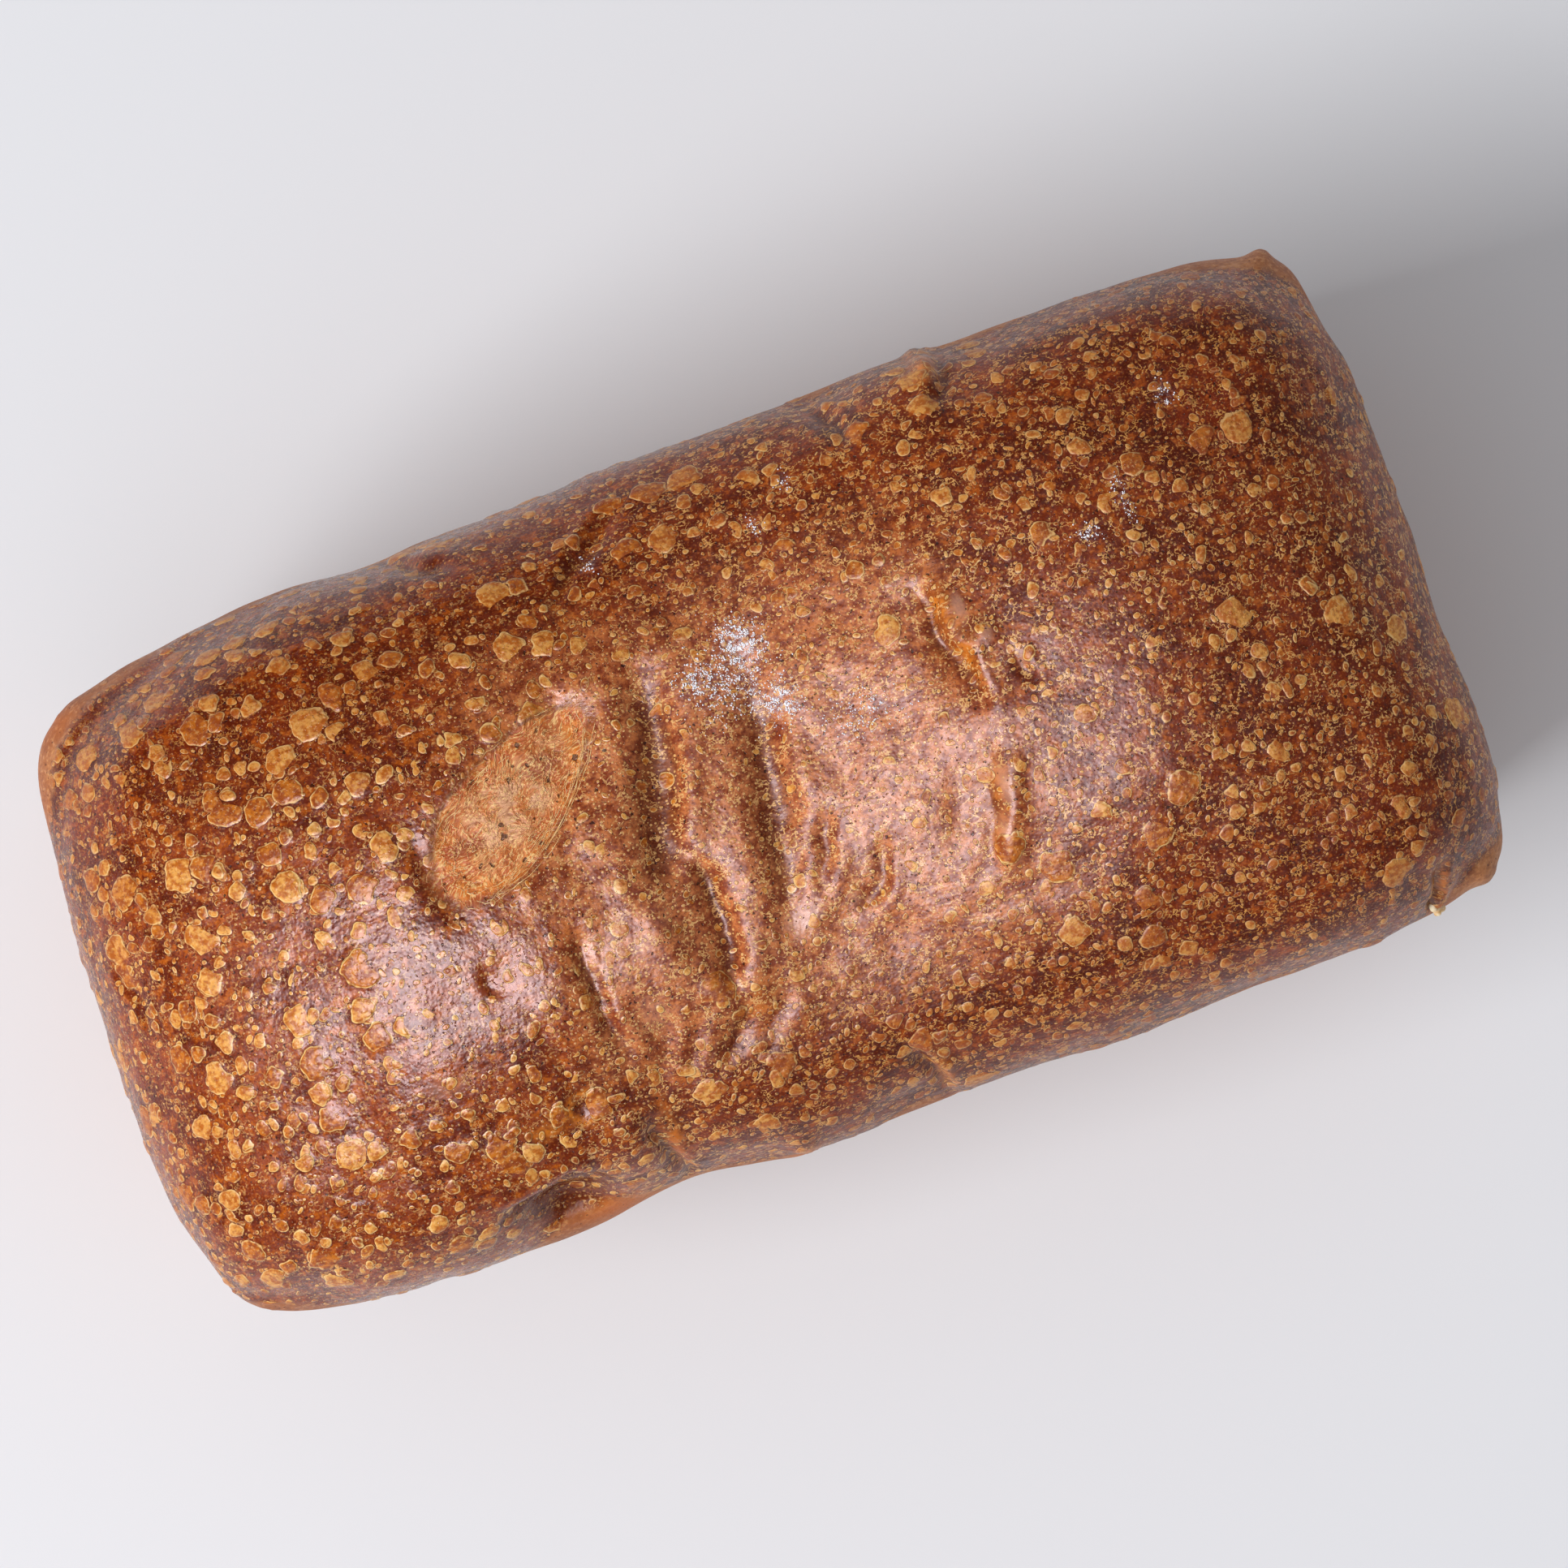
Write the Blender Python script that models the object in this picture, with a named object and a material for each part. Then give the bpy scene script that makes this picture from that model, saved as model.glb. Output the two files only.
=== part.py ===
"""A brioche loaf baked in an open tin: tapered tin sides, a blistered domed top and a wrinkled, sunken middle.

Units are metres, +Z is up, +X runs along the loaf. The origin is at the middle of the flat base.
"""

import bmesh
import bpy
import numpy as np
from mathutils import Vector, noise

MM = 0.001

# Driving dimensions of the loaf
LENGTH = 220 * MM
TIN_DEPTH = 70 * MM
HALF_LENGTH = LENGTH / 2
HALF_WIDTH = 53.9 * MM
END_OVERHANG = 1.2 * MM
TIN_TAPER = 7.0 * MM
BASE_ROUND = 4.0 * MM
SIDE_SINK = 1.2 * MM
CORNER_DROP = 4.0 * MM

# Roundness of the plan: the exponent of the superellipse at the left and the right end
PLAN_ROUND_LEFT = 8.0
PLAN_ROUND_RIGHT = 13.0

# The shoulder rises from the tin's rim in two steps, and the crown sits on top of it
BAND_RISE = 6.0 * MM
BAND_REACH = 6.0 * MM
SHOULDER_RISE = 12.0 * MM
SHOULDER_REACH = 15.0 * MM
END_SHOULDER_EXTRA = 6.0 * MM
CROWN_RISE = 19.0 * MM
SOFT_INSET = 4.0 * MM

# Unevenness of a thing that rose and baked: how far the surface strays, over lumps of two sizes
BROAD_UNEVENNESS = 0.7 * MM
BROAD_LUMP = 22 * MM
FINE_UNEVENNESS = 0.35 * MM
FINE_LUMP = 8 * MM

# Fineness of the solid: cells along and across the top, and the levels of the sides from rim to base
CELLS_ALONG = 84
CELLS_ACROSS = 44
SIDE_LEVELS = (0.0, 0.05, 0.12, 0.22, 0.45, 0.72, 0.94, 0.985, 1.0)
OVERHANG_ENDS = 0.22

# Swellings and dips of the crown: centre x, centre y, reach x, reach y, rise, all in millimetres
SWELLS = (
    (-60, -2, 34, 44, 3.0),
    (64, 4, 36, 46, 3.5),
    (4, -2, 30, 60, -5.0),
    (-36.0, -40, 14, 12, -2.0),
    (46, 51, 5, 6, 1.6),
    (44, 2.8, 3.0, 2.6, -1.0),
    (-47, -12.5, 2.6, 2.6, -1.0),
    (-50, -49, 6.5, 4.0, -5.5),
    (-37, -46, 4.0, 8.0, 2.6),
    (-17, -27, 3.0, 6.0, 1.0),
    (-23, -18, 4.0, 12.0, 1.2),
    (-5, -12, 4.5, 14.0, 1.3),
    (-10, -26, 2.6, 6.0, 1.2),
)

# Wrinkles of the crust: the points that each runs through, its depth (minus is a ridge) and its half width, in millimetres
WRINKLES = (
    (((-10.5, 24), (-12.5, 12.5), (-15, 5), (-17, -4), (-20, -9)), 2.2, 2.7),
    (((-13, -3), (-12, -9), (-13, -16.5), (-12.5, -20.5), (-14, -27)), 2.6, 2.1),
    (((-12.5, -29), (-13, -33), (-16, -38)), 1.8, 2.1),
    (((3.5, 22), (4.6, 12.5), (3, 5), (0.7, -9), (-2, -19)), 1.6, 3.0),
    (((7.8, -5), (6.6, -11.5), (4.2, -16)), 1.1, 2.0),
    (((14.5, -13), (11.6, -19), (7.5, -22.5)), 1.1, 2.0),
    (((32.0, 22), (33.2, 12.5), (34.8, 7.5), (36.0, 0)), 2.0, 2.4),
    (((34.3, 19.6), (37.0, 14.5), (40, 10.6), (38.8, 5)), -1.2, 2.0),
    (((32.5, -5), (29.5, -12), (27, -19)), 1.5, 3.0),
    (((36.0, -7), (33.2, -16.4), (30.5, -25)), -1.1, 2.6),
    (((-33.5, -10), (-33, -21.5), (-32.5, -30)), 1.4, 2.1),
    (((-52, 13), (-50.6, 7.5), (-50, 0), (-49.5, -5)), 1.0, 2.1),
    (((-31, -40), (-31.5, -45), (-29.5, -53)), 2.6, 2.4),
    (((7, -44), (9.5, -49), (12, -55)), 1.9, 2.2),
    (((-4, 50), (-8, 46), (-16, 41), (-21, 36)), 1.5, 2.4),
    (((-44, 54), (-38, 50), (-30, 49)), 1.2, 2.0),
    (((26, 55), (30, 50), (33, 44)), 1.4, 2.4),
    (((52, 54), (50, 49), (47, 44)), 1.5, 2.4),
    (((-24, 30), (-26, 24), (-24, 18)), 0.9, 2.2),
)

# The bald patch where the skin tore: centre, half length, half width, turn from +X in radians, depth
TORN_CENTRE = (-35.0 * MM, 12.5 * MM)
TORN_HALF_LENGTH = 17.5 * MM
TORN_HALF_WIDTH = 8.5 * MM
TORN_TURN = 0.56
TORN_DEPTH = 1.3 * MM

# Where the tin band shows outside the dome: centre x, centre y, reach x, reach y, width of band, in millimetres
BANDS = (
    (-106, 50, 24, 17, 8.0),
    (-98, -52, 14, 8, 3.0),
    (106, 53, 12, 9, 6.0),
    (105, -53, 12, 7, 4.5),
    (92, 57, 16, 6, 2.6),
    (-66, 56, 10, 6, 2.2),
    (-42, 57, 8, 6, 2.0),
    (30, 57, 4, 6, 2.2),
    (57, 58, 9, 6, 3.4),
    (-47, -56, 12, 7, 4.6),
    (-24, -56, 10, 5, 2.0),
    (6, -57, 6, 6, 2.6),
    (60, -58, 30, 6, 1.6),
)

# How far the crust leans out over the tin's rim on each side: where along that side, reach, push, in millimetres
REAR_OVERHANG = ((0, 250, 1.6), (43, 13, 0.9), (-60, 9, 0.3), (-48, 9, -0.8), (-22, 9, -0.5), (104, 10, -1.0), (-105, 25, -1.6))
FRONT_OVERHANG = ((0, 250, 2.2), (-32, 11, -2.7), (-13, 2.3, 0.8), (40, 9, 0.4), (77, 9, 0.4), (103, 10, -1.0), (-105, 25, -1.2))
LEFT_OVERHANG = ((34, 18, -2.6), (-40, 10, -1.5))
RIGHT_OVERHANG = ((42, 10, -2.0), (-44, 8, -1.6), (-12, 12, -0.4))

CRUST_COLOUR = (0.30, 0.10, 0.035, 1.0)
CRUST_ROUGHNESS = 0.42


def ease(value, start, end):
    """A smooth step from 0 at start to 1 at end."""
    t = np.clip((value - start) / (end - start), 0.0, 1.0)
    return t * t * (3.0 - 2.0 * t)


def hump(value, centre, reach):
    """A smooth bump of height 1 at centre, nearly gone at twice its reach."""
    return np.exp(-(((value - centre) / reach) ** 2))


def quarter_round(t, power):
    """Rises from 0 to 1 as t goes from 0 to 1: a quarter of a circle at power 0.5, a parabola at power 1."""
    return (1.0 - (1.0 - np.clip(t, 0.0, 1.0)) ** 2) ** power


def plan_round(x):
    """The superellipse exponent of the plan at x: rounder at the left end than at the right."""
    return PLAN_ROUND_LEFT + (PLAN_ROUND_RIGHT - PLAN_ROUND_LEFT) * ease(x, -0.5 * HALF_LENGTH, 0.5 * HALF_LENGTH)


def half_width(x, y, leaning=1.0):
    """The half width at x, on the side that y lies on: leaning is 1 at the rim of the crust and 0 on the tin's side."""
    rear = sum(push * hump(x / MM, at, reach) for at, reach, push in REAR_OVERHANG) * MM
    front = sum(push * hump(x / MM, at, reach) for at, reach, push in FRONT_OVERHANG) * MM
    side = np.clip(0.5 + y / (0.5 * HALF_WIDTH), 0.0, 1.0)
    return HALF_WIDTH + leaning * (rear * side + front * (1.0 - side))


def half_length(x, y):
    """The half length at y, towards the end that x lies on."""
    left = sum(push * hump(y / MM, at, reach) for at, reach, push in LEFT_OVERHANG) * MM
    right = sum(push * hump(y / MM, at, reach) for at, reach, push in RIGHT_OVERHANG) * MM
    return HALF_LENGTH + np.where(x > 0.0, right, left)


def spread(a):
    """Draws the cells a little closer together towards the rim, where the surface turns down."""
    bend = 1.25
    return np.sin(a * bend) / np.sin(bend)


def plan_of(a, b, leaning):
    """The place in plan of the cell corner a, b, each from -1 to 1, with the corners of the square rounded off."""
    u = spread(a)
    v = spread(b)
    reach = np.maximum(np.maximum(np.abs(u), np.abs(v)), 1e-9)
    power = plan_round(u * HALF_LENGTH)
    norm = (np.abs(u / reach) ** power + np.abs(v / reach) ** power) ** (1.0 / power)
    shrink = 1.0 - (1.0 - 1.0 / np.maximum(norm, 1.0)) * reach**4
    x = (half_length(u, v * shrink * HALF_WIDTH) - END_OVERHANG * (1.0 - leaning)) * u * shrink
    return x, half_width(x, v * HALF_WIDTH, leaning) * v * shrink


def rim_distance(x, y):
    """The distance in plan from the point inwards from the rim, along the shortest way."""
    power = plan_round(x)
    long = half_length(x, y)
    wide = half_width(x, y)
    along = np.abs(x) / long
    across = np.abs(y) / wide
    level = np.maximum((along**power + across**power) ** (1.0 / power), 1e-6)
    slope = np.hypot((along / level) ** (power - 1.0) / long, (across / level) ** (power - 1.0) / wide)
    return np.maximum((1.0 - level) / np.maximum(slope, 1e-6), 0.0)


def nearest_on_line(x, y, points):
    """The distance from each place to a line through the points, and how far along the line it is, from 0 to 1."""
    steps = [np.hypot(q[0] - p[0], q[1] - p[1]) for p, q in zip(points, points[1:])]
    total = sum(steps)
    best = np.full(np.shape(x), 1e9)
    along = np.zeros(np.shape(x))
    walked = 0.0
    for (px, py), (qx, qy), step in zip(points, points[1:], steps):
        t = np.clip(((x - px) * (qx - px) + (y - py) * (qy - py)) / step**2, 0.0, 1.0)
        away = np.hypot(x - px - t * (qx - px), y - py - t * (qy - py))
        closer = away < best
        best = np.where(closer, away, best)
        along = np.where(closer, (walked + t * step) / total, along)
        walked += step
    return best, along


def wrinkle_relief(x, y):
    """The height that all the wrinkles add at each place: each is a groove or a ridge that fades at both ends."""
    relief = np.zeros(np.shape(x))
    for points, depth, reach in WRINKLES:
        away, along = nearest_on_line(x / MM, y / MM, points)
        fade = np.sqrt(np.clip(np.sin(np.pi * along), 0.0, 1.0))
        relief -= depth * MM * fade * hump(away, 0.0, reach)
    return relief


def torn_share(x, y):
    """1 inside the bald patch, falling to 0 over its edge."""
    dx = x - TORN_CENTRE[0]
    dy = y - TORN_CENTRE[1]
    along = (dx * np.cos(TORN_TURN) + dy * np.sin(TORN_TURN)) / TORN_HALF_LENGTH
    across = (dy * np.cos(TORN_TURN) - dx * np.sin(TORN_TURN)) / TORN_HALF_WIDTH
    return 1.0 - ease(np.hypot(along, across), 0.75, 1.1)


def band_width(x, y):
    """How far the dome stands back from the rim, so that a band of the tin side shows."""
    return sum(wide * hump(x / MM, cx, rx) * hump(y / MM, cy, ry) for cx, cy, rx, ry, wide in BANDS) * MM


def rim_height(x, y):
    """The tin's rim on the crust: level along the sides, a little lower at the corners."""
    corner = ease(np.abs(x), 0.7 * HALF_LENGTH, HALF_LENGTH) * ease(np.abs(y), 0.6 * HALF_WIDTH, HALF_WIDTH)
    return TIN_DEPTH - CORNER_DROP * corner


def lumps(points, size):
    """Soft, even noise from -1 to 1 at each point, in lumps of about the given size."""
    return np.array([noise.noise(Vector(p) / size) for p in points])


def top_height(x, y):
    """The height of the top crust over a place in plan."""
    away = rim_distance(x, y)
    inset = band_width(x, y)
    reach = SHOULDER_REACH + END_SHOULDER_EXTRA * ease(np.abs(x), 0.7 * HALF_LENGTH, HALF_LENGTH)
    band = BAND_RISE * quarter_round(away / BAND_REACH, 0.5)
    power = 0.5 + 0.5 * np.clip(inset / SOFT_INSET, 0.0, 1.0)
    shoulder = SHOULDER_RISE * quarter_round((away - inset) / reach, power)
    across = np.clip(np.abs(y) / half_width(x, y), 0.0, 1.0)
    along = np.clip(np.abs(x) / HALF_LENGTH, 0.0, 1.0)
    crown = CROWN_RISE * (1.0 - across**2.3) * (1.0 - along**4.5)
    inner = ease(away, 0.0, 5.0 * MM)
    swell = sum(rise * hump(x / MM, cx, rx) * hump(y / MM, cy, ry) for cx, cy, rx, ry, rise in SWELLS) * MM
    relief = swell + wrinkle_relief(x, y) - TORN_DEPTH * torn_share(x, y)
    return rim_height(x, y) + band + shoulder + crown + relief * inner


def side_point(x, y, level):
    """The place on the side below the rim point x, y: level 0 is the rim and level 1 the flat base."""
    rim = rim_height(x, y)
    z = rim * (1.0 - level)
    round_off = 1.0 - np.clip(z / BASE_ROUND, 0.0, 1.0)
    pull = TIN_TAPER * level + BASE_ROUND * (1.0 - np.sqrt(np.clip(1.0 - round_off**2, 0.0, 1.0)))
    middle = (1.0 - (x / HALF_LENGTH) ** 4) * (1.0 - (y / HALF_WIDTH) ** 4)
    pull = pull + SIDE_SINK * np.sin(np.pi * level) * (0.4 + 0.6 * np.clip(middle, 0.0, 1.0))
    return x * (1.0 - pull / HALF_LENGTH), y * (1.0 - pull / HALF_WIDTH), z


def mould(points):
    """Moves the corners of the flat grid and of its skirt to the surface of the loaf."""
    a, b = points[:, 0], points[:, 1]
    steps = np.rint(-points[:, 2]).astype(int)
    level = np.array(SIDE_LEVELS)[steps]
    x, y = plan_of(a, b, 1.0 - ease(level, 0.0, OVERHANG_ENDS))
    top = top_height(x, y)
    side_x, side_y, side_z = side_point(x, y, level)
    on_side = steps > 0
    shaped = np.stack([np.where(on_side, side_x, x), np.where(on_side, side_y, y), np.where(on_side, side_z, top)], 1)
    free = 1.0 - ease(level, 0.9, 0.98)
    outward = shaped * np.array([1.0 / HALF_LENGTH, 1.0 / HALF_WIDTH, 1.0 / TIN_DEPTH]) - np.array([0.0, 0.0, 0.7])
    outward /= np.maximum(np.linalg.norm(outward, axis=1, keepdims=True), 1e-9)
    uneven = BROAD_UNEVENNESS * lumps(shaped, BROAD_LUMP) + FINE_UNEVENNESS * lumps(shaped, FINE_LUMP)
    places = shaped + outward * (uneven * free)[:, None]
    places[:, :2] -= 0.5 * (places[:, :2].min(axis=0) + places[:, :2].max(axis=0))
    return places


def grow_skirt(bm, count):
    """Hangs count rings of faces from the border of the grid, each one unit lower, and closes the last ring."""
    ring = [edge for edge in bm.edges if edge.is_boundary]
    for _ in range(count):
        grown = bmesh.ops.extrude_edge_only(bm, edges=ring)["geom"]
        bmesh.ops.translate(bm, verts=[v for v in grown if isinstance(v, bmesh.types.BMVert)], vec=(0.0, 0.0, -1.0))
        ring = [edge for edge in grown if isinstance(edge, bmesh.types.BMEdge) and edge.is_boundary]
    bmesh.ops.edgeloop_fill(bm, edges=ring)


def crust_material():
    material = bpy.data.materials.new("brioche_crust")
    material.use_nodes = True
    shader = material.node_tree.nodes["Principled BSDF"]
    shader.inputs["Base Color"].default_value = CRUST_COLOUR
    shader.inputs["Roughness"].default_value = CRUST_ROUGHNESS
    return material


def build_loaf():
    bm = bmesh.new()
    bmesh.ops.create_grid(bm, x_segments=CELLS_ALONG, y_segments=CELLS_ACROSS, size=1.0)
    grow_skirt(bm, len(SIDE_LEVELS) - 1)
    flat = np.array([v.co for v in bm.verts])
    for vert, place in zip(bm.verts, mould(flat)):
        vert.co = place
    bmesh.ops.recalc_face_normals(bm, faces=bm.faces)
    mesh = bpy.data.meshes.new("loaf")
    bm.to_mesh(mesh)
    bm.free()
    mesh.materials.append(crust_material())
    mesh.shade_smooth()
    loaf = bpy.data.objects.new("loaf", mesh)
    bpy.context.scene.collection.objects.link(loaf)
    return loaf


def main():
    for old in list(bpy.data.objects):
        bpy.data.objects.remove(old)
    build_loaf()


main()
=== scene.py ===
"""The looks of a brioche loaf: a blistered, egg-washed top crust with a torn patch, plain tin sides, and a
little flour and loose crumb.

Sizes and places are in millimetres unless a name or a comment says otherwise; the meshes are in metres.
"""

import math
import random

import bmesh
import bpy
import numpy as np
from mathutils import Matrix, Vector, noise
from mathutils.bvhtree import BVHTree


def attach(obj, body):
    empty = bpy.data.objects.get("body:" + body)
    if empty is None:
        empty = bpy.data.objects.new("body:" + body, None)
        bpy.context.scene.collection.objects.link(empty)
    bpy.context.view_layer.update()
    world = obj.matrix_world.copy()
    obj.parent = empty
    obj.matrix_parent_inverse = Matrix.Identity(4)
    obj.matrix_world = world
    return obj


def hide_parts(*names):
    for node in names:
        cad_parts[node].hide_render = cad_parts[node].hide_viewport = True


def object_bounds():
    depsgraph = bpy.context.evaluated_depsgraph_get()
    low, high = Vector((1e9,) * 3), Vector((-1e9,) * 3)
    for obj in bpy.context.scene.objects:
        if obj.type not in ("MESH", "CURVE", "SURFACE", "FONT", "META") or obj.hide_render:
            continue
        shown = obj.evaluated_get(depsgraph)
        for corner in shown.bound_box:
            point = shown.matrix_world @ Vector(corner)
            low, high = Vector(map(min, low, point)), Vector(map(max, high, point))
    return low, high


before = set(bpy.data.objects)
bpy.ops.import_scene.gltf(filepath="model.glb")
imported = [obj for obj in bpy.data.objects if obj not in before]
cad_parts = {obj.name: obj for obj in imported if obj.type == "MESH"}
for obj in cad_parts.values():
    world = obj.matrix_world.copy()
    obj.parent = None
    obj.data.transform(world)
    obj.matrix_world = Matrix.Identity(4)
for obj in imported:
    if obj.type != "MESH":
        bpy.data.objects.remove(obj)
solid_low, solid_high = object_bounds()

MM = 0.001

# The loaf's main sizes, read from its solid
HALF_LENGTH = 0.5 * (solid_high.x - solid_low.x) / MM
HALF_WIDTH = 0.5 * (solid_high.y - solid_low.y) / MM
CROWN = solid_high.z / MM
TIN_DEPTH = 70.0

# The photograph's frame: its width in pixels, and in millimetres at the tin's rim, the loaf's turn and its
# place, and the camera's height above the rim
FRAME_PIXELS = 1932
FRAME_SPAN = 246.1
LOAF_TURN = math.radians(20.25)
LOAF_CENTRE_PIXEL = (938.0, 975.0)
CAMERA_HEIGHT = 1800.0
SENSOR_WIDTH = 36.0


def ease(value, start, end):
    """A smooth step from 0 at start to 1 at end."""
    t = np.clip((value - start) / (end - start), 0.0, 1.0)
    return t * t * (3.0 - 2.0 * t)


def hump(value, centre, reach):
    """A smooth bump of height 1 at centre, nearly gone at twice its reach."""
    return np.exp(-(((value - centre) / reach) ** 2))


def humps(x, y, table):
    """The sum of oval bumps, each given as centre x, centre y, reach x, reach y and height."""
    return sum(rise * hump(x, cx, rx) * hump(y, cy, ry) for cx, cy, rx, ry, rise in table)


def tone(red, green, blue):
    """A colour given in display values from 0 to 255, as the linear values that Blender takes."""
    shares = [value / 255.0 for value in (red, green, blue)]
    return tuple(s / 12.92 if s <= 0.04045 else ((s + 0.055) / 1.055) ** 2.4 for s in shares) + (1.0,)


def lumps(points, size, seed=0.0):
    """Soft, even noise from -1 to 1 at each point; size is the lumps' size, one number or one for each
    axis."""
    scaled = points / np.array(size) + seed
    return np.array([noise.noise(Vector(p)) for p in scaled])


def beside_line(x, y, points):
    """The distance of each place from a line through the points, plus to its left and minus to its right,
    and how far along the line it is, from 0 to 1."""
    steps = [math.hypot(q[0] - p[0], q[1] - p[1]) for p, q in zip(points, points[1:])]
    best = np.full(np.shape(x), 1e9)
    along = np.zeros(np.shape(x))
    walked = 0.0
    for (px, py), (qx, qy), step in zip(points, points[1:], steps):
        t = np.clip(((x - px) * (qx - px) + (y - py) * (qy - py)) / step**2, 0.0, 1.0)
        away = np.hypot(x - px - t * (qx - px), y - py - t * (qy - py))
        turn = np.where((qx - px) * (y - py) - (qy - py) * (x - px) < 0.0, -1.0, 1.0)
        closer = away < np.abs(best)
        best = np.where(closer, away * turn, best)
        along = np.where(closer, (walked + t * step) / sum(steps), along)
        walked += step
    return best, along


# Folds finer than the solid's: the points that each runs through, the depth and half width of its groove,
# and the height, side and half width of the ridge beside it. Side is plus to the left of the line's run.
FOLDS = (
    (((-10.2, 23), (-12.6, 13), (-15.3, 5.2), (-17.3, -3.9), (-20.7, -8)), 1.9, 2.8, 0.6, 4.4, 2.4),
    (((-13.4, -4.6), (-12.3, -9.3), (-13.2, -17.1), (-12.8, -21.3), (-14.4, -27)), 1.7, 1.5, 0.6, 3.2, 2.1),
    (((-17.5, -9.0), (-19.0, -14.0), (-17.0, -20.0)), 0.4, 1.8, 0.2, 3.2, 2.0),
    (((-13.6, -31), (-15.4, -34), (-19, -37)), 0.8, 1.2, 0.4, 2.2, 1.4),
    (((3.8, 20.7), (4.6, 13), (2.9, 5.2), (0.2, -9.3), (-3, -20.5)), 1.2, 2.6, 0.5, 4.4, 2.6),
    (((7.9, -5.5), (6.8, -11.9), (4.0, -17.5)), 0.9, 1.2, 0.4, 2.3, 1.3),
    (((14.6, -13.5), (12, -19.7), (8, -22.8)), 0.9, 1.2, 0.4, 2.2, 1.3),
    (((33.0, 20.5), (33.8, 13), (35.6, 7.8), (36.6, 1.5)), 1.5, 1.2, 1.1, 2.2, 1.1),
    (((44.2, 6.0), (43.8, 4.0), (44.8, 1.8)), 0.9, 0.8, 0.6, 1.5, 0.9),
    (((35.2, -6.0), (32.6, -14), (29.4, -23)), 0.9, 1.6, 0.9, 3.0, 1.7),
    (((-34.7, -11), (-34.2, -22.3), (-33.7, -31.5)), 1.0, 1.1, 0.5, 2.2, 1.4),
    (((-53.9, 14), (-52.4, 7.8), (-51.2, -2)), 0.45, 1.5, 0.1, 2.4, 1.4),
    (((-49.6, -10.4), (-50.0, -13.2), (-48.0, -15.4), (-46.4, -14.4)), 0.5, 0.8, 0.2, 1.5, 0.8),
    (((-46.9, -17.6), (-44, -22.3), (-43.6, -29.6), (-42.5, -35.8)), 0.5, 0.6, 0.15, 0.9, 0.6),
    (((-33.5, -42), (-33.0, -46), (-30.6, -52.5)), 1.5, 1.2, 0.9, 2.2, 1.3),
    (((8.5, -46), (10, -49.3), (12.5, -54.5)), 1.5, 1.1, 0.8, 2.0, 1.1),
    (((-7.2, 48.5), (-11, 45.5), (-15.5, 42.5), (-20, 38)), 0.9, 1.2, 0.6, -2.2, 1.3),
    (((-43, 53.5), (-39, 51), (-33, 50.0)), 1.1, 1.0, 0.5, 1.7, 1.0),
    (((27, 54), (30.5, 50), (33, 46)), 0.9, 1.1, 0.4, 2.0, 1.1),
    (((49.5, 54), (48.5, 50.5), (46.5, 47)), 1.2, 1.0, 0.6, -1.9, 1.0),
    (((-26, -27), (-27, -32), (-31, -37)), 0.5, 1.6, 0.3, 2.7, 1.7),
    (((-21, -29), (-23, -34), (-27, -38)), 0.6, 1.4, 0.3, 2.5, 1.5),
    (((-8, -27), (-8.5, -32), (-12, -37)), 0.5, 1.6, 0.2, 2.7, 1.7),
    (((-101.5, 14), (-102.6, 6), (-101.3, -2)), 0.4, 1.0, 0.6, -1.6, 0.9),
    (((92.0, -55), (93.4, -52), (96.4, -47.4)), 1.3, 0.8, 0.7, -1.4, 0.9),
    (((-60, -48.5), (-54, -47.2), (-48, -46.0), (-43.5, -48.0)), 2.4, 1.0, 1.2, 1.9, 1.3),
)

# Spots that stand out or sink in: centre x, centre y, reach x, reach y, height
SPOTS = (
    (-42.4, -36.2, 1.7, 1.7, -1.0),
    (-45.3, 21.3, 0.6, 0.6, -0.8),
    (-48.7, -12.9, 1.3, 1.3, -0.5),
    (-50.5, -49.8, 6.2, 2.2, -3.0),
    (37.4, 16.6, 1.5, 3.0, 0.5),
    (40.4, 10.8, 1.6, 1.8, 0.6),
    (46.2, 53.0, 1.5, 2.2, 1.1),
    (-12.4, -54.6, 1.8, 1.5, 0.8),
)

# Where the plain skin of the sides climbs higher than the rim: centre x, centre y, reach x, reach y, share
BANDS = (
    (-106, 50, 24, 17, 1.6),
    (-98, -52, 14, 8, 0.9),
    (106, 53, 12, 9, 1.4),
    (105, -53, 12, 7, 1.2),
    (92, 57, 16, 6, 0.8),
    (-66, 56, 10, 6, 0.7),
    (-42, 57, 8, 6, 0.7),
    (30, 57, 4, 6, 0.7),
    (57, 58, 9, 6, 0.9),
    (-47, -56, 12, 7, 1.4),
    (-24, -56, 10, 5, 0.7),
    (-12.6, -58, 3, 4, 1.1),
    (6, -57, 6, 6, 0.8),
    (60, -58, 30, 6, 0.5),
)

# The line where the plain side meets the dome: how far it lies under the tin's rim, how much lower at the
# corners and higher at the places above, how far it wanders, and half its blur
SIDE_DROP = 1.5
CORNER_DROP = 4.0
BAND_RISE = 8.0
SIDE_WANDER = 1.6
SIDE_BLUR = 1.3

# How far from the middle the skin begins to bend down to the ends
END_BEND = 70.0

# The bald patch where the skin tore: its outline's centre, half length, half width and turn, and how much
# narrower it is towards its rear end
TORN_CENTRE = (-36.0, 12.0)
TORN_HALF_LENGTH = 18.5
TORN_HALF_WIDTH = 8.2
TORN_TURN = 0.60
TORN_TAPER = 0.3

# Browner spots on the bald patch: centre x, centre y, reach x, reach y, share
TORN_BROWN = (
    (-30.5, 15.5, 4.0, 2.6, 0.9),
    (-45.0, 7.6, 3.6, 1.6, 0.9),
    (-26.5, 21.0, 1.8, 3.0, 0.7),
    (-39.5, 11.5, 2.4, 1.4, 0.6),
    (-32.0, 7.0, 1.5, 2.2, 0.5),
)

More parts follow.
